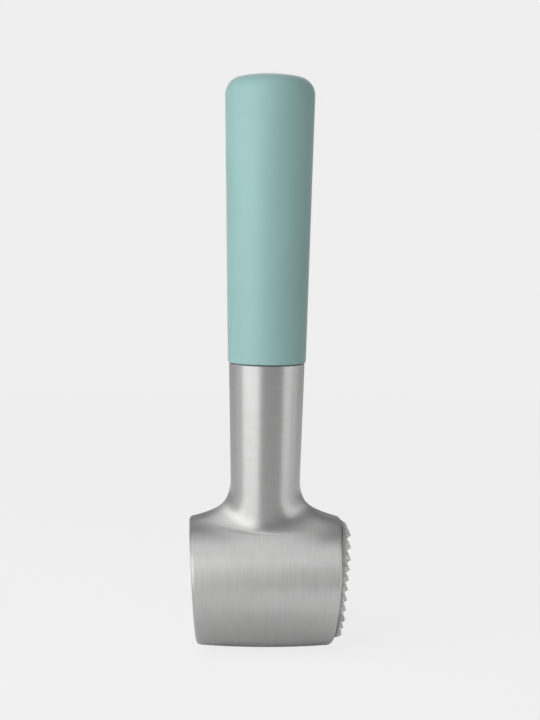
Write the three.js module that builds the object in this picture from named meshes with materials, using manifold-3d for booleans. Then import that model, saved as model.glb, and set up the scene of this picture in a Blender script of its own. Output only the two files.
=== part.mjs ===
// Meat mallet: a hollow cast steel head with a smooth and a toothed striking face, on a soft-grip handle
// that a stud, a nut and two washers hold to the head's neck.
// Millimetres. +Z runs up the handle, and X along the drum, with the toothed face towards +X.
// The toe of the head touches z = 0, and the origin lies under the middle of the whole outline.
import * as THREE from "three";
import { mergeVertices, toCreasedNormals } from "three/addons/utils/BufferGeometryUtils.js";
import Module from "manifold-3d";

const wasm = await Module();
wasm.setup();

// Overall sizes
const malletHeight = 222;
const drumRadius = 25.5; // at the crown, half way along the drum
const smoothReach = 27.9; // from the handle's axis to the smooth face, along the drum's axis
const toothedReach = 28.3; // from the handle's axis to the rim on the toothed side
const neckLength = 60.5; // from the top of the drum's crown to the handle

// Drum
const crownArcRadius = 345; // the drum bulges along its length on this radius
const smoothTilt = THREE.MathUtils.degToRad(3.9); // the head is wider at the neck than at the toe
const toothedTilt = THREE.MathUtils.degToRad(4.1);
const rimRounding = 1.2;
const rimBevel = 3; // past the rounding, the rim's cut goes on as a bevel over the flare's proud ridge
const cavityRadius = 20;

// Neck and the flare that joins it to the drum
const neckWaistRadius = 13.53;
const neckBoreRadius = 9;
const flareRiseSide = 16.4; // height above the drum's crown where the flare starts, towards the two faces
const flareRiseFront = 12; // the same at the front and back
const flareReachSide = 36.8; // plan distance at which the flare would run out into the drum
const flareReachFront = 19.8;
const flareDropSide = 14.4; // how far the flare keeps the neck's direction
const flareDropFront = 8;
const flareRunSide = 15.15; // how far it keeps the direction in which it runs out
const flareRunFront = 1.5;
const flareSink = 0.4; // the flare's edge lies this far under the drum's skin, so that the two join cleanly
const flareToeShare = 2.28; // slope of the flare where it runs out, as a share of the drum's slope there
const flarePlanShare = 2.2; // exponent of the superellipse that the flare's edge follows in plan

// Fits
const seatGap = 0.3; // between two pieces that sit on or in each other
const overrun = 1; // how far a cutting solid passes the surface that it cuts

// Striking faces
const smoothPlateRadius = 21.8;
const smoothPlateThickness = 4.6;
const registerRadius = 20.8; // bore at the toothed end that takes the toothed plate's spigot
const registerDepth = 6;
const spigotLength = 5.2;
const toothFieldRadius = 23.2;
const toothFieldLift = 1.2; // the toothed plate sits this far above the drum's axis
const toothRowRise = 0.5; // the rows of teeth are centred this far above the plate's middle
const toothedFlange = 0.9; // plate under the teeth, proud of the rim
const toothPitch = 3.89;
const toothHeight = 1.97;
const toothTipWidth = 0.24;
const grooveStep = 0.06; // the grooves that are cut last are this much deeper than the others
const edgeChamfer = 0.5;

// Handle
const gripButtRadius = 17.17;
const gripLowRadius = 15.1;
const gripProud = 0.48; // the sleeve's lower end stands this far proud of the neck
const gripWall = 2.4;
const buttWall = 3.4;
const buttCrownRadius = 54;
const buttCornerRadius = 7;
const gripEdgeRounding = 0.8;
const sealThickness = 1;
const sealInset = 0.3; // the seal ring stays this far inside the sleeve's bore
const coreTubeRadius = 9.2; // the hollow of the handle's core, wide enough for a socket spanner
const coreCornerRadius = 4;
const corePlugThickness = 3;
const corePlugFlange = 1.2;
const corePlugLip = 1.6;
const beadHeight = 0.6; // the rings that keep the sleeve from sliding off the core
const beadLength = 5;
const beadInset = 9; // from each end of the core to the middle of its ring

// Neck plug, stud and nut
const plugCollarRadius = 11;
const plugCollarThickness = 3;
const plugSpigotLength = 16;
const keyRadius = 8; // round boss with two flats that stops the handle turning
const keyAcrossFlats = 13;
const keyHeight = 8;
const studRadius = 4;
const studShankRadius = 3.6;
const studLength = 60;
const studThreadLength = 20;
const studStandout = 2.4; // past the nut
const studHole = 0.2; // radial clearance of the core's hole around the stud
const washerRadius = 8;
const washerThickness = 1.6;
const springWasherRadius = 7.2;
const springWasherThickness = 2;
const springSlotWidth = 1.4;
const springSlotLean = THREE.MathUtils.degToRad(25);
const nutAcrossFlats = 13;
const nutSides = 6;
const nutHeight = 6.5;
const nutChamfer = 0.9;

// Facets
const drumSides = 60;
const neckSides = 48;
const gripSides = 40;
const smallSides = 24;
const flareSteps = 10;
const arcSteps = 5;
const creaseAngle = THREE.MathUtils.degToRad(32);
const mergeDistance = 1e-4;

// Places and radii that several pieces share
const neckTopRadius = gripLowRadius - gripProud;
const drumAxisZ = drumRadius;
const neckTopZ = 2 * drumRadius + neckLength;
const gripLowZ = neckTopZ + seatGap;
const coreLowZ = neckTopZ + 2 * seatGap + sealThickness;
const coreTopZ = malletHeight - buttWall - seatGap;
const studLowZ = neckTopZ - plugCollarThickness - plugSpigotLength;
const studTopZ = studLowZ + studLength;
const nutTopZ = studTopZ - studStandout;
const nutLowZ = nutTopZ - nutHeight;
const springWasherLowZ = nutLowZ - seatGap - springWasherThickness;
const washerLowZ = springWasherLowZ - seatGap - washerThickness;
const tubeFloorZ = washerLowZ - seatGap;
const buttSideZ = buttSideHeight();

// Solids and meshes

function solidOf(geometry) {
  geometry.deleteAttribute("normal");
  geometry.deleteAttribute("uv");
  const whole = mergeVertices(geometry, mergeDistance);
  const kept = [];
  for (let i = 0; i < whole.index.count; i += 3) {
    const [a, b, c] = [0, 1, 2].map((k) => whole.index.getX(i + k));
    if (a !== b && b !== c && c !== a) kept.push(a, b, c);
  }
  return new wasm.Manifold(
    new wasm.Mesh({
      numProp: 3,
      vertProperties: whole.attributes.position.array,
      triVerts: new Uint32Array(kept),
    }),
  );
}

function geometryOf(solid) {
  const mesh = solid.getMesh();
  const geometry = new THREE.BufferGeometry();
  geometry.setAttribute("position", new THREE.BufferAttribute(mesh.vertProperties, mesh.numProp));
  geometry.setIndex(new THREE.BufferAttribute(mesh.triVerts, 1));
  return toCreasedNormals(geometry, creaseAngle);
}

// A solid turned about Z. The profile is a list of [radius, height] that goes up on the outside.
function turned(profile, sides) {
  const points = profile.map(([radius, height]) => new THREE.Vector2(radius, height));
  return solidOf(new THREE.LatheGeometry(points, sides).rotateX(Math.PI / 2));
}

function turnedRing(inner, outer, low, high, sides) {
  return turned([[inner, low], [outer, low], [outer, high], [inner, high], [inner, low]], sides);
}

function turnedDisc(radius, low, high, sides, chamferLow = 0, chamferHigh = 0) {
  return turned(
    [
      [0, low],
      [radius - chamferLow, low],
      ...(chamferLow ? [[radius, low + chamferLow]] : []),
      ...(chamferHigh ? [[radius, high - chamferHigh]] : []),
      [radius - chamferHigh, high],
      [0, high],
    ],
    sides,
  );
}

function box(sizeX, sizeY, lowZ, highZ) {
  const geometry = new THREE.BoxGeometry(sizeX, sizeY, highZ - lowZ);
  return solidOf(geometry.translate(0, 0, (lowZ + highZ) / 2));
}

// A prism along Z whose outline is a list of [x, y], from z = 0 to its height.
function prism(outline, height) {
  const shape = new THREE.Shape(outline.map(([x, y]) => new THREE.Vector2(x, y)));
  return solidOf(new THREE.ExtrudeGeometry(shape, { depth: height, bevelEnabled: false }));
}

// Points of a round stretch in a profile, from one angle to another.
function arc(centreRadius, centreHeight, radius, from, to) {
  return Array.from({ length: arcSteps + 1 }, (_, i) => {
    const angle = from + ((to - from) * i) / arcSteps;
    return [centreRadius + radius * Math.cos(angle), centreHeight + radius * Math.sin(angle)];
  });
}

function meshOf(name, solid, material) {
  const mesh = new THREE.Mesh(geometryOf(solid), material);
  mesh.name = name;
  return mesh;
}

// Materials

const steel = new THREE.MeshStandardMaterial({ color: 0xb4b4b4, roughness: 0.36, metalness: 1 });
const castSteel = new THREE.MeshStandardMaterial({ color: 0x9a9a98, roughness: 0.62, metalness: 1 });
const zincSteel = new THREE.MeshStandardMaterial({ color: 0xc3c6c8, roughness: 0.3, metalness: 1 });
const softGrip = new THREE.MeshStandardMaterial({ color: 0x86b2ab, roughness: 0.72, metalness: 0 });
const corePlastic = new THREE.MeshStandardMaterial({ color: 0xd9d9d2, roughness: 0.5, metalness: 0 });
const silicone = new THREE.MeshStandardMaterial({ color: 0x3c4040, roughness: 0.7, metalness: 0 });

// Head

// Radius of the drum at a distance x from its middle.
function drumRadiusAt(x) {
  return drumRadius - crownArcRadius + Math.sqrt(crownArcRadius ** 2 - x ** 2);
}

function drumSlopeAt(x) {
  return -x / Math.sqrt(crownArcRadius ** 2 - x ** 2);
}

// The turned drum runs past both faces, which are cut afterwards.
function drumBlank() {
  const steps = 2 * arcSteps;
  const halfLength = Math.max(smoothReach, toothedReach) * (1 + Math.sin(toothedTilt)) + 2 * overrun;
  const side = Array.from({ length: steps + 1 }, (_, i) => {
    const x = halfLength * ((2 * i) / steps - 1);
    return [drumRadiusAt(x), x];
  });
  return turned([[0, -halfLength], ...side, [0, halfLength]], drumSides)
    .rotate([0, 90, 0])
    .translate([0, 0, drumAxisZ]);
}

function mixed(side, front, azimuth) {
  return front + (side - front) * Math.cos(azimuth) ** 2;
}

// Plan distance of the flare's outer edge from the handle's axis.
function flareReachAt(azimuth) {
  const acrossSide = Math.abs(Math.cos(azimuth)) / flareReachSide;
  const acrossFront = Math.abs(Math.sin(azimuth)) / flareReachFront;
  return (acrossSide ** flarePlanShare + acrossFront ** flarePlanShare) ** (-1 / flarePlanShare);
}

function neckRadiusAt(z) {
  const waistZ = 2 * drumRadius + flareRiseSide;
  return neckWaistRadius + ((neckTopRadius - neckWaistRadius) * (z - waistZ)) / (neckTopZ - waistZ);
}

// The flare in one upright plane through the handle's axis, as a curve of (distance, height).
function flareCurve(azimuth) {
  const startZ = 2 * drumRadius + mixed(flareRiseSide, flareRiseFront, azimuth);
  const drop = mixed(flareDropSide, flareDropFront, azimuth);
  const run = mixed(flareRunSide, flareRunFront, azimuth);
  const reach = flareReachAt(azimuth);
  const x = reach * Math.cos(azimuth);
  const y = reach * Math.sin(azimuth);
  const radius = drumRadiusAt(x);
  const rise = Math.sqrt(radius ** 2 - y ** 2);
  const drumSlope = (radius * drumSlopeAt(x) * Math.cos(azimuth) - y * Math.sin(azimuth)) / rise;
  const endZ = drumAxisZ + rise - flareSink;
  return new THREE.CubicBezierCurve(
    new THREE.Vector2(neckRadiusAt(startZ), startZ),
    new THREE.Vector2(neckRadiusAt(startZ - drop), startZ - drop),
    new THREE.Vector2(reach - run, endZ - run * flareToeShare * drumSlope),
    new THREE.Vector2(reach, endZ),
  );
}

// Neck and flare: rings of points from the handle down to the flare's edge, closed by a point in the drum.
function neckBlank() {
  const azimuths = Array.from({ length: neckSides }, (_, i) => (i / neckSides) * 2 * Math.PI);
  const place = (azimuth, distance, z) => [distance * Math.cos(azimuth), distance * Math.sin(azimuth), z];
  const curves = azimuths.map(flareCurve);
  const rings = [azimuths.map((azimuth) => place(azimuth, neckTopRadius, neckTopZ))];
  for (let step = 0; step <= flareSteps; step++) {
    rings.push(
      azimuths.map((azimuth, i) => {
        const point = curves[i].getPoint(step / flareSteps);
        return place(azimuth, point.x, point.y);
      }),
    );
  }
  const positions = [0, 0, neckTopZ, ...rings.flat(2), 0, 0, drumAxisZ];
  const last = positions.length / 3 - 1;
  const at = (ring, i) => 1 + ring * neckSides + (i % neckSides);
  const index = [];
  for (let i = 0; i < neckSides; i++) {
    index.push(0, at(0, i), at(0, i + 1));
    for (let ring = 0; ring + 1 < rings.length; ring++) {
      index.push(at(ring, i), at(ring + 1, i), at(ring + 1, i + 1));
      index.push(at(ring, i), at(ring + 1, i + 1), at(ring, i + 1));
    }
    index.push(at(rings.length - 1, i), last, at(rings.length - 1, i + 1));
  }
  const geometry = new THREE.BufferGeometry();
  geometry.setAttribute("position", new THREE.Float32BufferAttribute(positions, 3));
  geometry.setIndex(index);
  return solidOf(geometry);
}

// Puts a solid that is modelled with its face on z = 0, looking up, on the head's smooth or toothed side.
function onSmoothSide(solid) {
  return solid
    .rotate([0, -90 - THREE.MathUtils.radToDeg(smoothTilt), 0])
    .translate([-smoothReach, 0, drumAxisZ]);
}

function onToothedSide(solid) {
  const tilt = THREE.MathUtils.radToDeg(toothedTilt);
  return solid
    .rotate([0, 90 + tilt, 0])
    .translate([toothedReach, 0, drumAxisZ])
    .translate([toothFieldLift * Math.sin(toothedTilt), 0, toothFieldLift * Math.cos(toothedTilt)]);
}

// What a side's end cut leaves: everything behind the face, with the drum's rim rounded.
// The lift is how far the plane that it is placed by lies above the drum's axis.
function endKeeper(reach, lift) {
  const rimRadius = drumRadiusAt(reach);
  const bevelDepth = rimRounding + rimBevel;
  const depth = 2 * malletHeight;
  return turned(
    [
      [0, -depth],
      [depth, -depth],
      [depth, -bevelDepth],
      [rimRadius + rimBevel, -bevelDepth],
      ...arc(rimRadius - rimRounding, -rimRounding, rimRounding, 0, Math.PI / 2),
      [0, 0],
    ],
    drumSides,
  ).translate([lift, 0, 0]);
}

function headBody() {
  const pastFace = smoothReach + toothedReach; // the bores' cutting solids run this far out of the faces
  const faceDepth = smoothPlateThickness + seatGap;
  const cavity = turnedDisc(
    cavityRadius,
    -smoothReach + smoothPlateThickness,
    toothedReach - registerDepth / 2,
    drumSides,
  )
    .rotate([0, 90, 0])
    .translate([0, 0, drumAxisZ]);
  const smoothSeat = turnedDisc(smoothPlateRadius + seatGap, -faceDepth, pastFace, drumSides);
  const toothedRegister = turnedDisc(registerRadius, -registerDepth, pastFace, drumSides);
  const neckBore = turnedDisc(neckBoreRadius, drumAxisZ, neckTopZ + overrun, smallSides);
  const collarSeat = turnedDisc(
    plugCollarRadius + seatGap,
    neckTopZ - plugCollarThickness - seatGap,
    neckTopZ + overrun,
    smallSides,
  );
  return drumBlank()
    .add(neckBlank())
    .intersect(onSmoothSide(endKeeper(smoothReach, 0)))
    .intersect(onToothedSide(endKeeper(toothedReach, toothFieldLift)))
    .subtract(cavity)
    .subtract(onSmoothSide(smoothSeat))
    .subtract(onToothedSide(toothedRegister))
    .subtract(neckBore)
    .subtract(collarSeat);
}

function smoothFace() {
  return onSmoothSide(turnedDisc(smoothPlateRadius, -smoothPlateThickness, 0, drumSides, edgeChamfer));
}

// A slab of ridges along Y, tips up, with V-shaped grooves between them down to a height.
function ridges(count, grooveZ) {
  const half = (count * toothPitch) / 2;
  const flank = (toothPitch - toothTipWidth) / 2;
  const outline = [[-half, -overrun]];
  for (let i = 0; i < count; i++) {
    const valley = -half + i * toothPitch;
    outline.push([valley, grooveZ]);
    outline.push([valley + flank, toothedFlange + toothHeight]);
    outline.push([valley + flank + toothTipWidth, toothedFlange + toothHeight]);
  }
  outline.push([half, grooveZ], [half, -overrun]);
  return prism(outline.reverse(), 2 * half)
    .rotate([90, 0, 0])
    .translate([0, half, 0]);
}

// The toothed plate: two crossing sets of ridges leave pyramids on a flange, with a spigot behind.
// The flange is a disc with four flats, so that only whole teeth stand along them.
function toothedFace() {
  const count = 2 * Math.floor(toothFieldRadius / toothPitch - 1 / 2) + 1;
  const crossed = ridges(count, toothedFlange)
    .intersect(ridges(count, toothedFlange - grooveStep).rotate([0, 0, 90]))
    .translate([-toothRowRise, 0, 0]);
  const field = turnedDisc(toothFieldRadius, 0, toothedFlange + toothHeight + overrun, drumSides);
  const spigot = turnedDisc(
    registerRadius - seatGap,
    -spigotLength,
    seatGap + toothedFlange / 2,
    drumSides,
    edgeChamfer,
  );
  return onToothedSide(field.intersect(crossed).translate([0, 0, seatGap]).add(spigot));
}

// Neck plug, stud, nut and washers

function neckPlug() {
  const collarLowZ = neckTopZ - plugCollarThickness;
  const spigot = turnedDisc(neckBoreRadius - seatGap, studLowZ, collarLowZ, smallSides, edgeChamfer);
  const collar = turnedDisc(plugCollarRadius, collarLowZ, neckTopZ, smallSides, edgeChamfer);
  const boss = turnedDisc(
    keyRadius,
    neckTopZ - edgeChamfer,
    neckTopZ + keyHeight,
    smallSides,
    0,
    edgeChamfer,
  );
  const flats = box(keyAcrossFlats, 2 * keyRadius, neckTopZ - edgeChamfer, neckTopZ + keyHeight + overrun);
  const threadHole = turnedDisc(
    studRadius + seatGap,
    studLowZ - overrun,
    neckTopZ + keyHeight + overrun,
    smallSides,
  );
  return spigot.add(collar).add(boss.intersect(flats)).subtract(threadHole);
}

function stud() {
  const chamfer = studRadius - studShankRadius;
  return turned(
    [
      [0, studLowZ],
      [studRadius - chamfer, studLowZ],
      [studRadius, studLowZ + chamfer],
      [studRadius, studLowZ + studThreadLength],
      [studShankRadius, studLowZ + studThreadLength + chamfer],
      [studShankRadius, studTopZ - studThreadLength - chamfer],
      [studRadius, studTopZ - studThreadLength],
      [studRadius, studTopZ - chamfer],
      [studRadius - chamfer, studTopZ],
      [0, studTopZ],
    ],
    smallSides,
  );
}

function flatWasher() {
  return turnedRing(studRadius + seatGap, washerRadius, washerLowZ, washerLowZ + washerThickness, smallSides);
}

// The split ring that keeps the nut tight.
function springWasher() {
  const ring = turnedRing(
    studRadius + seatGap,
    springWasherRadius,
    springWasherLowZ,
    springWasherLowZ + springWasherThickness,
    smallSides,
  );
  const half = springWasherThickness / 2;
  const slot = box(springSlotWidth, springWasherRadius, -half - overrun, half + overrun)
    .rotate([0, THREE.MathUtils.radToDeg(springSlotLean), 0])
    .translate([0, springWasherRadius / 2 + overrun, springWasherLowZ + half]);
  return ring.subtract(slot);
}

function hexNut() {
  const cornerRadius = nutAcrossFlats / (2 * Math.cos(Math.PI / nutSides));
  const corners = Array.from({ length: nutSides }, (_, i) => {
    const angle = (2 * Math.PI * i) / nutSides;
    return [cornerRadius * Math.cos(angle), cornerRadius * Math.sin(angle)];
  });
  const envelope = turnedDisc(cornerRadius, nutLowZ, nutTopZ, smallSides, nutChamfer, nutChamfer);
  const hole = turnedDisc(studRadius + seatGap, nutLowZ - overrun, nutTopZ + overrun, smallSides);
  return prism(corners, nutHeight).translate([0, 0, nutLowZ]).intersect(envelope).subtract(hole);
}

// Handle

// Height at which the sleeve's side runs into the rounding of the butt.
function buttSideHeight() {
  const crownCentreZ = malletHeight - buttCrownRadius;
  const cornerCentre = gripButtRadius - buttCornerRadius;
  return crownCentreZ + Math.sqrt((buttCrownRadius - buttCornerRadius) ** 2 - cornerCentre ** 2);
}

function gripRadiusAt(z) {
  return gripLowRadius + ((gripButtRadius - gripLowRadius) * (z - gripLowZ)) / (buttSideZ - gripLowZ);
}

function sleeveBoreAt(z) {
  return gripRadiusAt(z) - gripWall;
}

// The rings on the core and their grooves in the sleeve, as points of a profile that goes up.
function bead(middleZ, radiusAt) {
  const half = beadLength / 2;
  return [
    [radiusAt(middleZ - half), middleZ - half],
    [radiusAt(middleZ) + beadHeight, middleZ],
    [radiusAt(middleZ + half), middleZ + half],
  ];
}

function gripSleeve() {
  const edge = gripEdgeRounding;
  const cornerCentre = gripButtRadius - buttCornerRadius;
  const crownAngle = Math.acos(cornerCentre / (buttCrownRadius - buttCornerRadius));
  const crown = arc(0, malletHeight - buttCrownRadius, buttCrownRadius, crownAngle, Math.PI / 2);
  crown[crown.length - 1][0] = 0;
  const boreTopZ = malletHeight - buttWall;
  const cornerZ = boreTopZ - coreCornerRadius;
  const boreCorner = arc(sleeveBoreAt(cornerZ) - coreCornerRadius, cornerZ, coreCornerRadius, 0, Math.PI / 2);
  return turned(
    [
      [sleeveBoreAt(gripLowZ), gripLowZ],
      ...arc(gripLowRadius - edge, gripLowZ + edge, edge, -Math.PI / 2, 0),
      ...arc(cornerCentre, buttSideZ, buttCornerRadius, 0, crownAngle),
      ...crown.slice(1),
      [0, boreTopZ],
      ...boreCorner.reverse(),
      ...bead(coreTopZ - beadInset, sleeveBoreAt).reverse(),
      ...bead(coreLowZ + beadInset, sleeveBoreAt).reverse(),
      [sleeveBoreAt(gripLowZ), gripLowZ],
    ],
    gripSides,
  );
}

function handleCore() {
  const radiusAt = (z) => sleeveBoreAt(z) - seatGap;
  const cornerZ = coreTopZ - coreCornerRadius;
  const blank = turned(
    [
      [0, coreLowZ],
      [radiusAt(coreLowZ), coreLowZ],
      ...bead(coreLowZ + beadInset, radiusAt),
      ...bead(coreTopZ - beadInset, radiusAt),
      ...arc(radiusAt(cornerZ) - coreCornerRadius, cornerZ, coreCornerRadius, 0, Math.PI / 2),
      [0, coreTopZ],
    ],
    gripSides,
  );
  const keySocketTopZ = neckTopZ + keyHeight + seatGap;
  const keySocket = turnedDisc(keyRadius + seatGap, coreLowZ - overrun, keySocketTopZ, smallSides);
  const keyFlats = box(
    keyAcrossFlats + 2 * seatGap,
    2 * (keyRadius + seatGap),
    coreLowZ - overrun,
    keySocketTopZ,
  );
  const studBore = turnedDisc(studRadius + studHole, coreLowZ, tubeFloorZ + overrun, smallSides);
  const tube = turnedDisc(coreTubeRadius, tubeFloorZ, coreTopZ + overrun, smallSides);
  const lipSeat = turnedDisc(
    coreTubeRadius + corePlugLip,
    coreTopZ - corePlugFlange - seatGap,
    coreTopZ + overrun,
    smallSides,
  );
  return blank.subtract(keySocket.intersect(keyFlats)).subtract(studBore).subtract(tube).subtract(lipSeat);
}

function corePlug() {
  const flangeLowZ = coreTopZ - corePlugFlange;
  const stem = turnedDisc(
    coreTubeRadius - seatGap,
    coreTopZ - corePlugThickness,
    flangeLowZ + seatGap,
    smallSides,
    edgeChamfer,
  );
  return stem.add(turnedDisc(coreTubeRadius + corePlugLip - seatGap, flangeLowZ, coreTopZ, smallSides));
}

function sealRing() {
  const inner = keyRadius + seatGap;
  const outer = sleeveBoreAt(gripLowZ) - sealInset;
  return turnedRing(inner, outer, gripLowZ, gripLowZ + sealThickness, gripSides);
}

// Assembly

const head = new THREE.Group();
head.add(meshOf("head_body", headBody(), steel));
head.add(meshOf("smooth_face", smoothFace(), steel));
head.add(meshOf("toothed_face", toothedFace(), castSteel));

const fastening = new THREE.Group();
fastening.add(meshOf("neck_plug", neckPlug(), steel));
fastening.add(meshOf("stud", stud(), zincSteel));
fastening.add(meshOf("flat_washer", flatWasher(), zincSteel));
fastening.add(meshOf("spring_washer", springWasher(), zincSteel));
fastening.add(meshOf("hex_nut", hexNut(), zincSteel));

const handle = new THREE.Group();
handle.add(meshOf("seal_ring", sealRing(), silicone));
handle.add(meshOf("handle_core", handleCore(), corePlastic));
handle.add(meshOf("core_plug", corePlug(), corePlastic));
handle.add(meshOf("grip_sleeve", gripSleeve(), softGrip));

// The outline reaches further on the toothed side, so the origin lies beside the handle's axis.
const outline = new THREE.Box3().setFromObject(head);

const mallet = new THREE.Group();
mallet.name = "meat_mallet";
mallet.add(head, fastening, handle);
mallet.position.x = -(outline.min.x + outline.max.x) / 2;

export default mallet;
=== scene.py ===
"""The looks of a meat mallet, built round its packed CAD frame.

The drum and the flared neck are one brushed skin, worked out as a smooth solid from a few sizes. The teeth
are made by Geometry Nodes, the sleeve and the plate are turned, and what lies inside keeps its CAD shape.
Lengths are in metres. +Z runs up the handle, and the toothed face looks towards +X.
"""

import math
from contextlib import contextmanager

import bmesh
import bpy
import numpy as np
from mathutils import Matrix, Vector, noise


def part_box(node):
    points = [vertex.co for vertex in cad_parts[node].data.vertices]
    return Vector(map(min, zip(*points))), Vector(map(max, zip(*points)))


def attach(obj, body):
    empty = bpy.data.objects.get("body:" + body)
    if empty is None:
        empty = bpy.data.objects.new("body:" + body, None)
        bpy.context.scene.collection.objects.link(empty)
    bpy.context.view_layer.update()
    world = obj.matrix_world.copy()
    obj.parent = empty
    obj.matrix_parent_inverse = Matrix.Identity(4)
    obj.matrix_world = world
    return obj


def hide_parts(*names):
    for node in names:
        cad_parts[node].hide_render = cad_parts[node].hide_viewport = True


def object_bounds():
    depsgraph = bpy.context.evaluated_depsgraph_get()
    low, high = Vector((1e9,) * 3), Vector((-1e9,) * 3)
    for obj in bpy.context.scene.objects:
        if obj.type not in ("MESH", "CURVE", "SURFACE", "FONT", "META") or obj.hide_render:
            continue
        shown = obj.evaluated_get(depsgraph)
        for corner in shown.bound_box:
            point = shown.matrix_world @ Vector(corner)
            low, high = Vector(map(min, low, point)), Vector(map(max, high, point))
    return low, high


bl_info = {
    "name": "Meat mallet",
    "version": (1, 0, 0),
    "blender": (4, 5, 0),
    "location": "3D View > Sidebar > Mallet",
    "description": "Builds the brushed head, the cast teeth and the soft grip of a meat mallet",
    "category": "Add Mesh",
}

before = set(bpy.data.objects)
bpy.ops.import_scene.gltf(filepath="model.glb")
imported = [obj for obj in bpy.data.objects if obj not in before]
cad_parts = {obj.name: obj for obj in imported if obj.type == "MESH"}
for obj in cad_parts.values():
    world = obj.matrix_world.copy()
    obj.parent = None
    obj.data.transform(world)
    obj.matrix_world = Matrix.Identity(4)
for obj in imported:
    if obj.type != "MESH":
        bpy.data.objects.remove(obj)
cad_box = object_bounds()

MM = 0.001
UP = Vector((0, 0, 1))
head_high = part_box("head_body")[1]
sleeve_low, sleeve_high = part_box("grip_sleeve")
AXIS_X = (sleeve_low.x + sleeve_high.x) / 2  # the handle's axis
BODY = "root"


# Settings


def length(name, description, default):
    """A size that the sidebar shows as a length."""
    return bpy.props.FloatProperty(
        name=name, description=description, default=default, min=0, precision=5, unit="LENGTH"
    )


def angle(name, description, degrees):
    """An angle, given in degrees."""
    return bpy.props.FloatProperty(
        name=name, description=description, default=math.radians(degrees), subtype="ANGLE"
    )


def number(name, description, default, low=0.0, high=1000.0):
    """A plain number."""
    return bpy.props.FloatProperty(name=name, description=description, default=default, min=low, max=high)


def whole(name, description, default, low=0):
    """A whole number."""
    return bpy.props.IntProperty(name=name, description=description, default=default, min=low)


def colour(name, description, default):
    """A colour that the sidebar shows as one."""
    return bpy.props.FloatVectorProperty(
        name=name, description=description, default=default, min=0, max=1, size=3, subtype="COLOR"
    )


class HeadSizes(bpy.types.PropertyGroup):
    """The drum, its rims and the neck."""

    drum_radius: length("Drum radius", "Radius of the drum at its crown", head_high.y)
    crown_arc: length("Crown arc", "Radius on which the drum bulges along its length", 345 * MM)
    smooth_reach: length("Smooth reach", "From the handle's axis to the rim's smooth side", 27.78 * MM)
    smooth_tilt: angle("Smooth tilt", "Lean of the smooth side", 3.9)
    toothed_reach: length("Toothed reach", "From the handle's axis to the rim's toothed side", 28.3 * MM)
    toothed_tilt: angle("Toothed tilt", "Lean of the toothed side", 4.1)
    smooth_rim_top: length("Smooth rim, top", "Rounding of the smooth side's rim at the neck", 1.2 * MM)
    smooth_rim_toe: length("Smooth rim, toe", "Rounding of the smooth side's rim at the toe", 1.6 * MM)
    toothed_rim_top: length("Toothed rim, top", "Rounding of the toothed side's rim at the neck", 1.8 * MM)
    toothed_rim_toe: length("Toothed rim, toe", "Rounding of the toothed side's rim at the toe", 2.2 * MM)
    smooth_rim_front: length("Smooth rim, front", "The smooth rim's rounding at the front and back", 1.3 * MM)
    toothed_rim_front: length("Toothed rim, front", "The toothed rim's rounding there", 0.8 * MM)
    neck_top: length("Neck top", "Height of the neck's upper end", head_high.z)
    neck_top_radius: length("Neck top radius", "Radius of the neck under the grip", 14.62 * MM)
    neck_edge: length("Neck edge", "Rounding of the neck's upper edge", 0.25 * MM)
    waist_radius: length("Waist radius", "Radius of the neck where the flare starts", 13.53 * MM)
    cavity_radius: length("Cavity radius", "Radius of the hollow in the drum", 20 * MM)
    cavity_low: length("Cavity, smooth end", "From the axis to the hollow's smooth end", 23.3 * MM)
    cavity_high: length("Cavity, toothed end", "From the axis to the hollow's toothed end", 25.3 * MM)
    neck_bore: length("Neck bore", "Radius of the neck's bore", 9 * MM)
    collar_radius: length("Collar seat", "Radius of the seat at the bore's mouth", 11.3 * MM)
    collar_depth: length("Collar depth", "Depth of the seat at the bore's mouth", 3.3 * MM)
    skin_step: length("Skin step", "Side of the skin's facets", 0.66 * MM)
    rim_step: length("Rim step", "Side of the facets near the rims", 0.34 * MM)


class FlareSizes(bpy.types.PropertyGroup):
    """The flare that joins the neck to the drum, towards the two faces (side) and at the front and back."""

    rise_side: length("Rise, side", "Height above the drum's crown where the flare starts", 16.4 * MM)
    rise_front: length("Rise, front", "Height above the drum's crown where the flare starts", 10 * MM)
    reach_side: length("Reach, side", "Plan distance at which the flare runs out", 36.8 * MM)
    reach_front: length("Reach, front", "Plan distance at which the flare runs out", 13.5 * MM)
    drop_side: length("Drop, side", "How far the flare keeps the neck's direction", 14.4 * MM)
    drop_front: length("Drop, front", "How far the flare keeps the neck's direction", 6 * MM)
    run_side: number("Run, side", "How far the flare keeps its toe's direction, a share of its width", 0.65)
    run_front: number("Run, front", "The same at the front and back", 0.35)
    sink: length("Sink", "How far the flare's toe lies under the drum's skin", 0.4 * MM)
    slope_side: number("Toe slope, side", "Fall of the flare where it runs out", 0.245)
    slope_front: number("Toe slope, front", "The same at the front and back", 1.5)
    spread: number("Spread", "How soon the flare turns from its side shape to its front shape", 1.5)
    shift: length("Shift", "How far the plan's widest part lies towards the toothed face", 6 * MM)
    plan_toothed: number("Plan, toothed side", "Exponent of the superellipse that the toe follows", 1.8)
    plan_smooth: number("Plan, smooth side", "The same on the smooth side", 1.45)
    skirt: length("Skirt", "How far the flare goes on outwards inside the drum", 4.5 * MM)
    floor: length("Floor", "Height at which the flare ends inside the drum", 30 * MM)
    crease: length("Crease", "Softness of the crease between flare and drum at the front", 7 * MM)
    crease_side: length("Crease, side", "The same towards the two faces", 3.4 * MM)
    crease_reach: length("Crease reach", "From the axis to where the crease is softest", 22 * MM)
    brush_near: length("Brush, near", "Within this of the axis the brushing runs round the neck", 16 * MM)
    brush_far: length("Brush, far", "Past this the flare is brushed as the drum is", 24 * MM)


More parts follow.
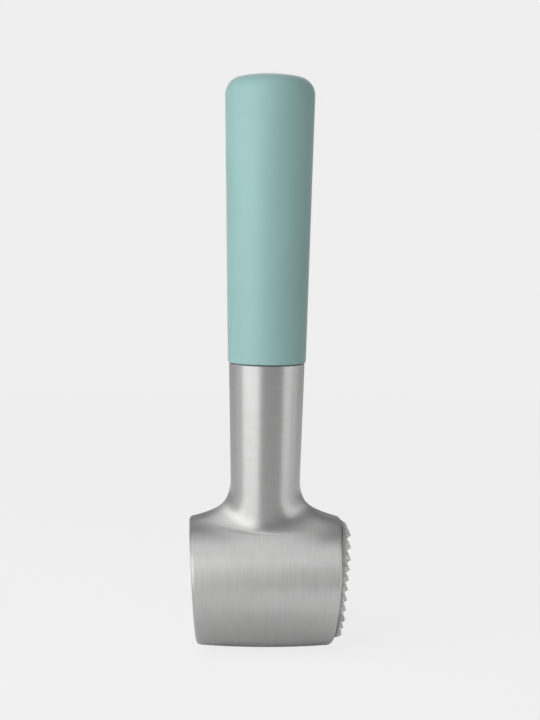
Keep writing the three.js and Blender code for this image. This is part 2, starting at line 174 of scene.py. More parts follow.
class FaceSizes(bpy.types.PropertyGroup):
    """The smooth plate and the toothed plate."""

    smooth_radius: length("Smooth plate", "Radius of the smooth plate", 21.8 * MM)
    smooth_reach: length("Smooth face", "From the handle's axis to the smooth face", 27.9 * MM)
    smooth_thickness: length("Smooth thickness", "Thickness of the smooth plate", 4.6 * MM)
    gap: length("Gap", "Gap round a plate in its seat", 0.3 * MM)
    chamfer: length("Chamfer", "Chamfer of the plates", 0.5 * MM)
    register_radius: length("Register", "Radius of the bore that takes the toothed plate", 20.8 * MM)
    register_depth: length("Register depth", "Depth of that bore", 6 * MM)
    spigot_length: length("Spigot", "Length of the toothed plate's spigot", 5.2 * MM)
    field_radius: length("Field radius", "Radius of the toothed plate", 23.2 * MM)
    field_lift: length("Field lift", "How far the toothed plate sits above the drum's axis", 1.2 * MM)
    row_rise: length("Row rise", "How far the rows sit above the plate's middle", 0.5 * MM)
    seat: length("Seat", "How far the toothed plate sits off the rim", 0.05 * MM)
    flange: length("Flange", "Thickness of the plate under the teeth", 0.3 * MM)
    rows: whole("Rows", "Rows of teeth each way", 11, 1)
    pitch: length("Pitch", "From one tooth to the next", 3.89 * MM)
    height: length("Tooth height", "Height of a tooth above the plate", 2.82 * MM)
    tip: length("Tip", "Width of a tooth's flat tip", 0.24 * MM)
    uneven: number("Unevenness", "How much lower a tooth may be than the tallest, as a share", 0.03, 0, 1)
    grain: length("Cast grain", "Depth of the cast grain on the teeth", 0.05 * MM)
    edge: length("Tooth edge", "Width of the worn edges of the teeth", 0.07 * MM)
    seed: whole("Seed", "Seed of the teeth's unevenness", 7)


class GripSizes(bpy.types.PropertyGroup):
    """The soft sleeve."""

    low_radius: length("Low radius", "Radius at the lower end", 15.1 * MM)
    butt_radius: length("Butt radius", "Radius where the side meets the butt's rounding", 17.17 * MM)
    corner: length("Corner", "Rounding between the side and the crown", 7 * MM)
    crown: length("Crown", "Radius of the domed butt", 54 * MM)
    edge: length("Edge", "Rounding of the lower edge", 0.45 * MM)
    wall: length("Wall", "Thickness of the sleeve's wall", 2.4 * MM)
    butt_wall: length("Butt wall", "Thickness at the butt", 3.4 * MM)
    bore_corner: length("Bore corner", "Rounding of the bore's closed end", 4 * MM)
    bead_height: length("Bead height", "Depth of the two grooves for the core's rings", 0.6 * MM)
    bead_length: length("Bead length", "Length of a groove", 5 * MM)
    bead_inset: length("Bead inset", "From the bore's end to a groove's middle", 9 * MM)


class Finishes(bpy.types.PropertyGroup):
    """Colours of the pieces."""

    steel: colour("Brushed steel", "Colour of the head", (0.56, 0.56, 0.557))
    cast: colour("Cast steel", "Colour of the teeth", (0.42, 0.42, 0.41))
    grip: colour("Grip", "Colour of the soft sleeve", (0.242, 0.42, 0.405))
    zinc: colour("Zinc plate", "Colour of the stud, the nut and the washers", (0.6, 0.62, 0.63))
    turned: colour("Turned steel", "Colour of the plug in the neck", (0.58, 0.58, 0.57))
    plastic: colour("Plastic", "Colour of the handle's core", (0.7, 0.7, 0.66))
    silicone: colour("Silicone", "Colour of the seal ring", (0.06, 0.07, 0.07))
    backdrop: colour("Backdrop", "Colour of the floor and the background", (0.863, 0.863, 0.863))


class Studio(bpy.types.PropertyGroup):
    """The camera and the light."""

    lens: number("Lens", "Focal length in millimetres", 75)
    distance: length("Distance", "From the camera to the point it looks at", 580.75 * MM)
    aim_height: length("Aim height", "Height of the point that the camera looks at", 112.55 * MM)
    aim_side: length("Aim side", "How far that point lies beside the handle's axis", 1.23 * MM)
    pitch: angle("Pitch", "How far the camera looks down", 5.25)
    yaw: angle("Yaw", "How far the camera stands towards the smooth side", 2.0)
    roll: angle("Roll", "Turn of the camera about its line of sight", 0.755)
    key: number("Key", "Radiance of the soft box on the left", 1.25)
    side: number("Side", "Radiance of the soft box on the right", 0.58)
    top: number("Top", "Radiance of the soft box overhead", 0.85)
    matt_key: number("Matt key", "Radiance of the lamp that only matt surfaces show", 2.08)
    fill: number("Fill", "Brightness of the world for matt surfaces", 0.44)
    shadow: number("Shadow", "How much of the floor's own shade the camera sees", 0.12, 0, 1)
    near: length("Near", "How far round the mallet the floor shows its own shade", 350 * MM)
    near_gloss: length("Near, gloss", "The same in reflections", 66 * MM)
    lift: number("Floor lift", "Makes up for the floor's own shade", 1.05)


# Meshes

# Segments round a turned piece, round a tool that cuts a face, and round the one that bores the neck
PIECE_SEGMENTS = 192
TOOL_SEGMENTS = 180
BORE_SEGMENTS = 120
SIDE_STEPS = 24  # along the sleeve's straight side


def new_piece(name, points, faces):
    """A new mesh object in the scene."""
    mesh = bpy.data.meshes.new(name)
    mesh.from_pydata(points, [], faces)
    piece = bpy.data.objects.new(name, mesh)
    bpy.context.scene.collection.objects.link(piece)
    return piece


def turned(name, profile, segments, place=None):
    """A solid turned about Z. The profile is a list of (radius, height) that goes up on the outside, from the
    axis to the axis, or round to its first point for a ring."""
    ring_shaped = profile[0] == profile[-1]
    corners = profile[:-1] if ring_shaped else profile
    points, rings = [], []
    for radius, height in corners:
        count = segments if radius > 0 else 1
        rings.append([len(points) + i for i in range(count)])
        for i in range(count):
            turn = 2 * math.pi * i / segments
            points.append((radius * math.cos(turn), radius * math.sin(turn), height))
    uppers = rings[1:] + rings[:1] if ring_shaped else rings[1:]
    faces = []
    for low, high in zip(rings, uppers):
        for i in range(segments):
            j = (i + 1) % segments
            loop = [low[i % len(low)], low[j % len(low)], high[j % len(high)], high[i % len(high)]]
            kept = list(dict.fromkeys(loop))
            if len(kept) > 2:
                faces.append(kept)
    piece = new_piece(name, points, faces)
    if place is not None:
        piece.data.transform(place)
    return piece


def cylinder(name, radius, low, high, place):
    """A solid cylinder along the place's Z, from one height to another."""
    return turned(name, [(0, low), (radius, low), (radius, high), (0, high)], TOOL_SEGMENTS, place)


def arc(radius_to_centre, height, radius, start, end, steps):
    """Points of a round stretch in a profile, from one angle to another."""
    turns = [start + (end - start) * i / steps for i in range(steps + 1)]
    return [(radius_to_centre + radius * math.cos(t), height + radius * math.sin(t)) for t in turns]


def take_modified(piece):
    """Makes what the modifiers show the piece's own mesh."""
    graph = bpy.context.evaluated_depsgraph_get()
    mesh = bpy.data.meshes.new_from_object(piece.evaluated_get(graph))
    piece.modifiers.clear()
    old = piece.data
    piece.data = mesh
    bpy.data.meshes.remove(old)
    mesh.name = piece.name


def combine(piece, tool, operation="DIFFERENCE"):
    """Cuts, joins or crosses the piece with a closed tool, which is used up."""
    modifier = piece.modifiers.new("combine", "BOOLEAN")
    modifier.operation = operation
    modifier.solver = "MANIFOLD"
    modifier.object = tool
    take_modified(piece)
    bpy.data.objects.remove(tool)
    if not piece.data.polygons:
        raise RuntimeError(f"{piece.name} is empty after a {operation.lower()} with another solid")


@contextmanager
def opened(piece):
    """The piece's mesh, open for editing. It is written back at the end."""
    shape = bmesh.new()
    shape.from_mesh(piece.data)
    yield shape
    shape.to_mesh(piece.data)
    shape.free()


def merge_slivers(piece, width):
    """Merges points that lie closer together than the width, and drops the slivers between them."""
    with opened(piece) as shape:
        bmesh.ops.remove_doubles(shape, verts=shape.verts, dist=width)
        bmesh.ops.dissolve_degenerate(shape, dist=width, edges=shape.edges)


def shade_by_angle(piece, degrees=32.0):
    """Smooth shading with sharp edges past an angle."""
    limit = math.radians(degrees)
    with opened(piece) as shape:
        for face in shape.faces:
            face.smooth = True
        for edge in shape.edges:
            edge.smooth = len(edge.link_faces) == 2 and edge.calc_face_angle() < limit


def finish_piece(piece, material, node):
    """Gives a finished piece its material, and its place in the frame."""
    piece.data.materials.clear()
    piece.data.materials.append(material)
    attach(piece, BODY)
    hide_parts(node)


def face_place(outward, tilt, reach, lift=0.0):
    """Where a face's own axes lie: Z out of the face, and Y along the frame's Y."""
    normal = Vector((outward * math.cos(tilt), 0, -math.sin(tilt)))
    along = Vector((0, 1, 0)).cross(normal)
    rise = along if along.z > 0 else -along
    origin = Vector((AXIS_X + outward * reach, 0, bpy.context.scene.mallet_head.drum_radius)) + lift * rise
    place = Matrix((along, (0, 1, 0), normal)).transposed().to_4x4()
    place.translation = origin
    return place


# The head's skin


class FlareTable:
    """Distance of the flare and the neck from the handle's axis, looked up by azimuth and height."""

    AZIMUTHS = 241
    HEIGHTS = 900
    CURVE_POINTS = 300

    def __init__(self, head, flare):
        self.head = head
        self.azimuths = np.linspace(0, math.pi, self.AZIMUTHS)
        self.heights = np.linspace(flare.floor - flare.skirt, head.neck_top + flare.skirt, self.HEIGHTS)
        rows = zip(self.azimuths, *self.toes(flare))
        self.distance = np.array([self.row(flare, azimuth, *toe) for azimuth, *toe in rows])
        by_azimuth, by_height = np.gradient(self.distance, self.azimuths, self.heights)
        self.slant = np.sqrt(1 + by_height**2 + (by_azimuth / self.distance) ** 2)

    def neck(self, flare, z):
        """Radius of the neck, which is straight from its waist to its top."""
        waist = 2 * self.head.drum_radius + flare.rise_side
        share = (z - waist) / (self.head.neck_top - waist)
        return self.head.waist_radius + (self.head.neck_top_radius - self.head.waist_radius) * share

    def toes(self, flare):
        """For each azimuth, how far out the flare ends and how far it has its side shape."""
        turn = np.linspace(0, math.pi / 2, self.CURVE_POINTS)
        azimuths, reaches, sideways = [], [], []
        halves = (
            (1, flare.reach_side - flare.shift, flare.plan_toothed),
            (-1, flare.reach_side + flare.shift, flare.plan_smooth),
        )
        for outward, reach, power in halves:
            share = np.cos(turn) ** (2 / power)
            x = flare.shift + outward * reach * share
            y = flare.reach_front * np.sin(turn) ** (2 / power)
            azimuths += list(np.arctan2(y, x))[::outward]
            reaches += list(np.hypot(x, y))[::outward]
            sideways += list(share**flare.spread)[::outward]
        return np.interp(self.azimuths, azimuths, reaches), np.interp(self.azimuths, azimuths, sideways)

    def row(self, flare, azimuth, reach, toward_side):
        """The flare in one upright plane: a cubic curve between the neck and the drum."""

        def mixed(key):
            """A size at this azimuth, between its side and front values."""
            side, front = getattr(flare, f"{key}_side"), getattr(flare, f"{key}_front")
            return front + (side - front) * toward_side

        head = self.head
        start = 2 * head.drum_radius + mixed("rise")
        drop = mixed("drop")
        run = mixed("run") * (reach - self.neck(flare, start))
        slope = -mixed("slope")
        x, y = reach * math.cos(azimuth), reach * math.sin(azimuth)
        radius = head.drum_radius - head.crown_arc + math.sqrt(head.crown_arc**2 - x**2)
        rise = math.sqrt(radius**2 - y**2)
        end = head.drum_radius + rise - flare.sink
        t = np.linspace(0, 1, self.CURVE_POINTS)
        weights = np.array([(1 - t) ** 3, 3 * t * (1 - t) ** 2, 3 * t**2 * (1 - t), t**3])
        radii = [self.neck(flare, start), self.neck(flare, start - drop), reach - run, reach]
        heights = [start, start - drop, end - run * slope, end]
        curve_radius, curve_height = radii @ weights, heights @ weights
        z = self.heights
        found = np.interp(z, curve_height[::-1], curve_radius[::-1])
        found = np.where(z > start, self.neck(flare, z), found)
        past = np.maximum(end - z, 0) / -slope
        return np.where(z < end, reach + flare.skirt * (1 - np.exp(-past / flare.skirt)), found)

    def gap(self, x, y, z):
        """About how far a point lies outside the flare or the neck."""
        azimuth = np.arctan2(np.abs(y), x) / self.azimuths[1]
        height = (z - self.heights[0]) / (self.heights[1] - self.heights[0])
        i = np.clip(azimuth.astype(int), 0, self.AZIMUTHS - 2)
        j = np.clip(height.astype(int), 0, self.HEIGHTS - 2)
        u, v = azimuth - i, np.clip(height - j, 0, 1)
        weights = ((1 - u) * (1 - v), (1 - u) * v, u * (1 - v), u * v)
        places = ((i, j), (i, j + 1), (i + 1, j), (i + 1, j + 1))
        distance = sum(w * self.distance[p] for w, p in zip(weights, places))
        slant = sum(w * self.slant[p] for w, p in zip(weights, places))
        return (np.hypot(x, y) - distance) / slant


def soft_union(a, b, width):
    """The nearer of two fields, with a smooth crossing where they differ by less than the width."""
    share = np.maximum(width - np.abs(a - b), 0) / width
    return np.minimum(a, b) - share**3 * width / 6


def rounded_crossing(a, b, radius):
    """The further of two fields, with the edge where they meet rounded."""
    return np.minimum(-radius, np.maximum(a, b)) + np.hypot(
        np.maximum(radius + a, 0), np.maximum(radius + b, 0)
    )


class HeadSkin:
    """The outside of the head as a field that is negative inside. x is measured from the handle's axis."""

    RIM = ("reach", "tilt", "rim_toe", "rim_top", "rim_front")

    def __init__(self, head, flare):
        self.head = head
        self.flare = flare
        self.table = FlareTable(head, flare)

    def drum(self, x, y, z):
        """About how far a point lies outside the drum."""
        bulge = np.sqrt(self.head.crown_arc**2 - x**2) - self.head.crown_arc
        return np.hypot(y, z - self.head.drum_radius) - self.head.drum_radius - bulge

    def neck(self, x, y, z):
        """About how far a point lies outside the neck with its flare."""
        return np.maximum(self.table.gap(x, y, z), self.flare.floor - z)

    def __call__(self, x, y, z):
        head, flare = self.head, self.flare
        sideways = np.clip(np.abs(x) / flare.crease_reach, 0, 1) ** 2
        crease = flare.crease + (flare.crease_side - flare.crease) * sideways
        body = soft_union(self.drum(x, y, z), self.neck(x, y, z), crease)
        rise = np.clip(z / (2 * head.drum_radius), 0, 1)
        across = np.clip(np.abs(y) / head.drum_radius, 0, 1) ** 2
        above = z - head.drum_radius
        for outward, face in ((-1, "smooth"), (1, "toothed")):
            reach, tilt, at_toe, at_top, at_front = (getattr(head, f"{face}_{key}") for key in self.RIM)
            plane = (outward * x - reach) * math.cos(tilt) - above * math.sin(tilt)
            rounding = at_toe + (at_top - at_toe) * rise
            body = rounded_crossing(body, plane, rounding + (at_front - rounding) * across)
        return rounded_crossing(body, z - head.neck_top, head.neck_edge)


def stepped(*stretches):
    """Grid lines through stretches of (start, end, step)."""
    lines = [stretches[0][0]]
    for start, end, step in stretches:
        count = max(1, round((end - start) / step))
        lines += list(np.linspace(start, end, count + 1)[1:])
    return np.array(lines)


def skin_mesh(field, axes):
    """Points and quads of a closed skin where the field is zero: one point in each grid cell that the skin
    passes through, and one quad across each grid edge that it cuts."""
    values = field(*np.meshgrid(*axes, indexing="ij"))
    inside = values < 0
    cells = tuple(n - 1 for n in values.shape)
    total = np.zeros((math.prod(cells), 3))
    hits = np.zeros(math.prod(cells))
    quads = []
    for axis in range(3):
        low = [slice(None)] * 3
        high = [slice(None)] * 3
        low[axis], high[axis] = slice(None, -1), slice(1, None)
        low, high = tuple(low), tuple(high)
        edges = np.argwhere(inside[low] != inside[high])
        cut = tuple(edges.T)
        here, there = values[low][cut], values[high][cut]
        share = here / (here - there)
        points = np.stack([axes[k][edges[:, k]] for k in range(3)], axis=1)
        step = axes[axis][edges[:, axis] + 1] - axes[axis][edges[:, axis]]
        points[:, axis] += share * step
        first, second = (axis + 1) % 3, (axis + 2) % 3
        loop = []
        for back in ((0, 0), (1, 0), (1, 1), (0, 1)):
            cell = edges.copy()
            cell[:, first] -= back[0]
            cell[:, second] -= back[1]
            flat = np.ravel_multi_index(tuple(cell.T), cells)
            hits += np.bincount(flat, minlength=hits.size)
            for k in range(3):
                total[:, k] += np.bincount(flat, weights=points[:, k], minlength=hits.size)
            loop.append(flat)
        loop = np.stack(loop, axis=1)
        outward = inside[low][cut]
        quads.append(np.where(outward[:, None], loop, loop[:, ::-1]))
    used = np.flatnonzero(hits)
    order = np.zeros(hits.size, int)
    order[used] = np.arange(used.size)
    return total[used] / hits[used, None], order[np.concatenate(quads)]


def gradient(field, points, reach):
    """How fast the field grows along x, y and z at each point."""
    found = []
    for k in range(3):
        step = np.zeros(3)
        step[k] = reach
        found.append((field(*(points + step).T) - field(*(points - step).T)) / (2 * reach))
    return np.stack(found, axis=1)


def settle_on(field, points, most, rounds=5, flattest=0.05):
    """Moves the points on to the skin, each by no more than the most in a round."""
    for _ in range(rounds):
        slope = gradient(field, points, most / 50)
        move = (field(*points.T) / np.maximum((slope**2).sum(axis=1), flattest))[:, None] * slope
        size = np.linalg.norm(move, axis=1, keepdims=True)
        points = points - move * np.minimum(1, most / np.maximum(size, 1e-12))
    return points


def mark_neck(piece, skin):
    """Stores how far each point belongs to the neck and the flare, for the direction of the brushing."""
    points = np.zeros(len(piece.data.vertices) * 3)
    piece.data.vertices.foreach_get("co", points)
    x, y, z = (points.reshape(-1, 3) - (AXIS_X, 0, 0)).T
    width = 1.2 * MM  # of the border between the two directions
    on_drum = 0.8  # how much of the border lies on the drum's side of the crease
    share = np.clip((skin.drum(x, y, z) - skin.neck(x, y, z)) / width + on_drum, 0, 1)
    near, far = skin.flare.brush_near, skin.flare.brush_far
    inner = 1 - np.clip((np.hypot(x, y) - near) / (far - near), 0, 1)
    mark = piece.data.attributes.new("neck_share", "FLOAT", "POINT")
    mark.data.foreach_set("value", (eased(share) * eased(inner)).astype(np.float32))


def eased(share):
    """A share from 0 to 1 that starts and ends gently."""
    return share**2 * (3 - 2 * share)


# Shader maths


class Shade:
    """A socket of a node tree, on which sums and products add Math nodes. Without one it only adds nodes."""

    def __init__(self, tree, socket=None):
        self.tree = tree
        self.socket = socket

    def add(self, kind, settings=None, values=None, output=0):
        """Adds a node: first its settings, then a value or a link for each named or numbered input."""
        node = self.tree.nodes.new(kind)
        for name, value in (settings or {}).items():
            setattr(node, name, value)
        for name, value in (values or {}).items():
            if isinstance(value, Shade):
                self.tree.links.new(value.socket, node.inputs[name])
            else:
                node.inputs[name].default_value = value
        return Shade(self.tree, node.outputs[output] if len(node.outputs) else None)

    def twin(self, output):
        """Another output of the same node."""
        return Shade(self.tree, self.socket.node.outputs[output])

    def maths(self, operation, a, b):
        """A Math node on two sockets or numbers."""
        return self.add("ShaderNodeMath", {"operation": operation}, {0: a, 1: b})

    def __add__(self, other):
        return self.maths("ADD", self, other)

    def __sub__(self, other):
        return self.maths("SUBTRACT", self, other)

    def __rsub__(self, other):
        return self.maths("SUBTRACT", other, self)

    def __mul__(self, other):
        return self.maths("MULTIPLY", self, other)

    __radd__ = __add__
    __rmul__ = __mul__


def new_material(name, shader, *given):
    """A material whose shader is made by a function, from a sheet and what is given."""
    material = bpy.data.materials.new(name)
    material.use_nodes = True
    material.node_tree.nodes.clear()
    sheet = Shade(material.node_tree)
    sheet.add("ShaderNodeOutputMaterial", None, {"Surface": shader(sheet, *given)})
    return material


def object_place(sheet):
    """The place on the object."""
    return sheet.add("ShaderNodeTexCoord", output="Object")


def grain(sheet, place, scale, detail=2.0, roughness=0.5, shift=(0, 0, 0)):
    """Noise on stretched coordinates: a scale of 2000 gives features of about half a millimetre."""
    stretched = sheet.add("ShaderNodeMapping", None, {"Vector": place, "Scale": scale, "Location": shift})
    values = {"Vector": stretched, "Scale": 1.0, "Detail": detail, "Roughness": roughness}
    return sheet.add("ShaderNodeTexNoise", None, values)


def between(sheet, value, low, high, to_low=0.0, to_high=1.0):
    """Takes a value smoothly from one range to another, and holds it there."""
    values = {"Value": value, "From Min": low, "From Max": high, "To Min": to_low, "To Max": to_high}
    return sheet.add("ShaderNodeMapRange", {"interpolation_type": "SMOOTHSTEP"}, values)


def blended(sheet, share, a, b, kind="MIX"):
    """Two colours, all a at a share of 0 and all b at 1."""
    return sheet.add("ShaderNodeMix", {"data_type": "RGBA", "blend_type": kind}, {0: share, 6: a, 7: b}, 2)


def bumped(sheet, height, distance):
    """The surface's normal, tilted by a height. The distance is how far a height of 1 stands out."""
    return sheet.add("ShaderNodeBump", None, {"Height": height, "Distance": distance})


def either(sheet, share, a, b):
    """Two shaders, all a at a share of 0 and all b at 1."""
    return sheet.add("ShaderNodeMixShader", None, {0: share, 1: a, 2: b})


def glow(sheet, rgb, strength=1.0):
    """Light of one colour."""
    return sheet.add("ShaderNodeEmission", None, {"Color": opaque(rgb), "Strength": strength})


def opaque(rgb):
    """The colour with its full alpha."""
    return (*rgb, 1.0)


def toned(rgb, share):
    """The colour made darker, or lighter with a share over 1."""
    return opaque([c * share for c in rgb])


def varied(sheet, share, rgb, dark, light):
    """A colour from its darker tone at a share of 0 to its lighter one at 1."""
    return blended(sheet, share, toned(rgb, dark), toned(rgb, light))


# Materials

# Scales along x, y and z of a brushed finish's hair lines, streaks and clouds
BRUSHED_ROUND_DRUM = ((4600, 260, 260), (1700, 90, 90), (260, 170, 170))
BRUSHED_ROUND_NECK = ((260, 260, 4600), (90, 90, 1700), (170, 170, 260))
GROUND_ACROSS = ((60, 60, 4600), (40, 20, 900), (60, 60, 90))


def brushed(sheet, rgb, painted_brightness, scales, turn, matt):
    """Brushed steel. The turn of its highlights is a share of a full turn, and matt is its roughness. A
    brightness over 1 paints light into its colour, under 1 paints shade.
    """
    place = object_place(sheet)
    hair = grain(sheet, place, scales[0], 3.0, 0.65)
    streak = grain(sheet, place, scales[1], 2.0, 0.55, (3.1, 1.7, 5.3))
    cloud = grain(sheet, place, scales[2], 2.0, 0.5, (8.2, 2.9, 0.4))
    tone = between(sheet, 0.5 * streak + 0.5 * cloud, 0.3, 0.7)
    values = {
        "Base Color": varied(sheet, tone, rgb, 0.96 * painted_brightness, 1.04 * painted_brightness),
        "Metallic": 1.0,
        "Roughness": matt + 0.06 * hair + 0.06 * cloud,
        "Anisotropic": 0.85,
        "Anisotropic Rotation": turn,
        "Normal": bumped(sheet, 0.7 * hair + 0.3 * streak, 0.007 * MM),
    }
    return sheet.add("ShaderNodeBsdfPrincipled", None, values)


def brushed_head(sheet, finishes):
    """Steel brushed round the drum, and round the neck and its flare, with painted light on the drum and
    painted shade on the neck.
    """
    # Painted light and shade: the drum's copy of the steel is made 8% lighter and the neck's 7% darker.
    drum = brushed(sheet, finishes.steel, painted_brightness=1.08, scales=BRUSHED_ROUND_DRUM, turn=0.0, matt=0.44)
    neck = brushed(sheet, finishes.steel, painted_brightness=0.93, scales=BRUSHED_ROUND_NECK, turn=0.25, matt=0.35)
    share = sheet.add("ShaderNodeAttribute", {"attribute_name": "neck_share"}, None, "Fac")
    return either(sheet, share, drum, neck)


def ground_plate(sheet, finishes):
    """The smooth face: ground straight across."""
    return brushed(sheet, finishes.steel, painted_brightness=1.0, scales=GROUND_ACROSS, turn=0.0, matt=0.36)


def cast_teeth(sheet, finishes, field_place, tooth_height):
    """Grainy cast steel, with painted shade low between the teeth, and rubbed bright at their tips."""
    place = object_place(sheet)
    fine = grain(sheet, place, (2600, 2600, 2600), 4.0, 0.7)
    coarse = grain(sheet, place, (700, 700, 700))
    pits = {"Vector": place, "Scale": 1500.0, "Smoothness": 0.6}
    pit = sheet.add("ShaderNodeTexVoronoi", {"feature": "SMOOTH_F1"}, pits)
    normal = field_place.to_3x3().col[2]
    along = sheet.add("ShaderNodeVectorMath", {"operation": "DOT_PRODUCT"}, {0: place, 1: normal}, "Value")
    height = along - normal.dot(field_place.translation)
    worn = between(sheet, height + 0.3 * MM * coarse, 0.72 * tooth_height, 1.12 * tooth_height)
    # Painted shade: the colour goes darker low between the teeth, where shade falls, but not on the flange's
    # side.
    flank = between(sheet, height, 0.05 * tooth_height, 0.4 * tooth_height)
    rim = between(sheet, height, -0.3 * MM, 0.0, 1.0, 0.0)
    speck = between(sheet, fine, 0.36, 0.64)
    mottled = varied(sheet, speck, finishes.cast, 0.6, 2.0)
    shaded = blended(sheet, sheet.maths("MAXIMUM", flank, rim), toned(finishes.cast, 0.9), mottled)
    values = {
        "Base Color": blended(sheet, worn, shaded, toned(finishes.cast, 1.7)),
        "Metallic": 1.0,
        "Roughness": 0.56 - 0.16 * worn + 0.12 * fine,
        "Normal": bumped(sheet, 0.5 * fine + 0.3 * coarse + 0.4 * pit, 0.12 * MM),
    }
    return sheet.add("ShaderNodeBsdfPrincipled", None, values)


def soft_grip(sheet, finishes):
    """Matt soft-touch rubber with a fine moulded grain."""
    place = object_place(sheet)
    fine = grain(sheet, place, (5200, 5200, 5200), 2.0, 0.6)
    cloud = grain(sheet, place, (55, 55, 30))
    tone = between(sheet, cloud, 0.3, 0.7)
    values = {
        "Base Color": varied(sheet, tone, finishes.grip, 0.97, 1.03),
        "Roughness": 0.5 + 0.12 * fine + 0.06 * cloud,
        "Normal": bumped(sheet, fine, 0.012 * MM),
        "Specular IOR Level": 0.8,
        "Sheen Weight": 0.85,
        "Sheen Roughness": 0.3,
    }
    return sheet.add("ShaderNodeBsdfPrincipled", None, values)


def turned_steel(sheet, finishes):
    """Lathe-turned steel: fine rings about the handle's axis."""
    place = object_place(sheet)
    rings = grain(sheet, place, (20, 20, 5000), 3.0, 0.6)
    cloud = grain(sheet, place, (150, 150, 150))
    values = {
        "Base Color": varied(sheet, cloud, finishes.turned, 0.92, 1.05),
        "Metallic": 1.0,
        "Roughness": 0.28 + 0.14 * rings,
        "Normal": bumped(sheet, rings, 0.02 * MM),
    }
    return sheet.add("ShaderNodeBsdfPrincipled", None, values)


def zinc_plate(sheet, finishes):
    """Bright zinc plate with a faint spangle and a yellowish and bluish bloom."""
    place = object_place(sheet)
    spangle = sheet.add("ShaderNodeTexVoronoi", None, {"Vector": place, "Scale": 900.0}, "Color")
    bloom = grain(sheet, place, (120, 120, 120), 3.0)
    fine = grain(sheet, place, (2500, 2500, 2500))
    yellowish = opaque((0.64, 0.63, 0.56))
    plated = blended(sheet, bloom, yellowish, opaque(finishes.zinc))
    values = {
        "Base Color": blended(sheet, 0.08, plated, spangle, "SOFT_LIGHT"),
        "Metallic": 1.0,
        "Roughness": 0.22 + 0.2 * bloom,
        "Normal": bumped(sheet, fine, 0.01 * MM),
    }
    return sheet.add("ShaderNodeBsdfPrincipled", None, values)


def core_plastic(sheet, finishes):
    """Natural moulded plastic with faint flow marks."""
    place = object_place(sheet)
    flow = grain(sheet, place, (60, 60, 18), 3.0)
    fine = grain(sheet, place, (3000, 3000, 3000))
    values = {
        "Base Color": varied(sheet, flow, finishes.plastic, 0.93, 1.04),
        "Roughness": 0.38 + 0.14 * flow,
        "Normal": bumped(sheet, fine, 0.01 * MM),
        "Subsurface Weight": 0.05,
        "Subsurface Radius": (2 * MM, 2 * MM, 2 * MM),
    }
    return sheet.add("ShaderNodeBsdfPrincipled", None, values)


def silicone_seal(sheet, finishes):
    """Dark silicone rubber, dusty in places."""
    dust = grain(sheet, object_place(sheet), (400, 400, 400), 4.0)
    values = {
        "Base Color": blended(sheet, dust, opaque(finishes.silicone), toned(finishes.silicone, 1.6)),
        "Roughness": 0.55 + 0.2 * dust,
        "Normal": bumped(sheet, dust, 0.02 * MM),
    }
    return sheet.add("ShaderNodeBsdfPrincipled", None, values)


# Geometry Nodes


def tooth_field_tree():
    """A square field of pyramids with flat tips, each a little lower than the tallest by a fixed seed."""
    tree = bpy.data.node_groups.new("tooth_field", "GeometryNodeTree")
    numbers = ("Pitch", "Tooth height", "Tip width", "Unevenness")
    kinds = [("Rows", "NodeSocketInt"), ("Seed", "NodeSocketInt"), ("Material", "NodeSocketMaterial")]
    kinds += [(name, "NodeSocketFloat") for name in numbers]
    tree.interface.new_socket("Geometry", in_out="INPUT", socket_type="NodeSocketGeometry")
    for name, kind in kinds:
        tree.interface.new_socket(name, in_out="INPUT", socket_type=kind)
    tree.interface.new_socket("Geometry", in_out="OUTPUT", socket_type="NodeSocketGeometry")
    sheet = Shade(tree)
    entry = sheet.add("NodeGroupInput")
    given = {name: entry.twin(name) for name, _ in kinds}
    span = given["Pitch"] * (given["Rows"] - 1)
    grid = {"Size X": span, "Size Y": span, "Vertices X": given["Rows"], "Vertices Y": given["Rows"]}
    spots = sheet.add("GeometryNodeMeshGrid", None, grid)
    half_diagonal = math.sqrt(0.5)
    pyramid = {
        "Vertices": 4,
        "Side Segments": 3,
        "Radius Top": given["Tip width"] * half_diagonal,
        "Radius Bottom": given["Pitch"] * half_diagonal,
        "Depth": given["Tooth height"],
    }
    tooth = sheet.add("GeometryNodeMeshCone", None, pyramid, "Mesh")
    bottomless = {"Geometry": tooth, "Selection": tooth.twin("Bottom")}
    open_below = sheet.add("GeometryNodeDeleteGeometry", {"domain": "FACE"}, bottomless)
    eighth_turn = (0, 0, math.radians(45))
    squared = sheet.add("GeometryNodeTransform", None, {"Geometry": open_below, "Rotation": eighth_turn})
    heights = {2: 1 - given["Unevenness"], 3: 1.0, "Seed": given["Seed"]}
    tall = sheet.add("FunctionNodeRandomValue", {"data_type": "FLOAT"}, heights, 1)
    size = sheet.add("ShaderNodeCombineXYZ", None, {"X": 1.0, "Y": 1.0, "Z": tall})
    placed = {"Points": spots, "Instance": squared, "Scale": size}
    teeth = sheet.add("GeometryNodeInstanceOnPoints", None, placed)
    real = sheet.add("GeometryNodeRealizeInstances", None, {"Geometry": teeth})
    coated = sheet.add("GeometryNodeSetMaterial", None, {"Geometry": real, "Material": given["Material"]})
    sheet.add("NodeGroupOutput", None, {"Geometry": coated})
    return tree


def run_tree(name, tree, values):
    """A plain mesh piece with what the tree makes from the values."""
    piece = new_piece(name, [], [])
    modifier = piece.modifiers.new("nodes", "NODES")
    modifier.node_group = tree
    for item in tree.interface.items_tree:
        if item.in_out == "INPUT" and item.name in values:
            modifier[item.identifier] = values[item.name]
    take_modified(piece)
    if not piece.data.polygons:
        raise RuntimeError(f"the node tree {tree.name} made nothing")
    return piece


# Operators


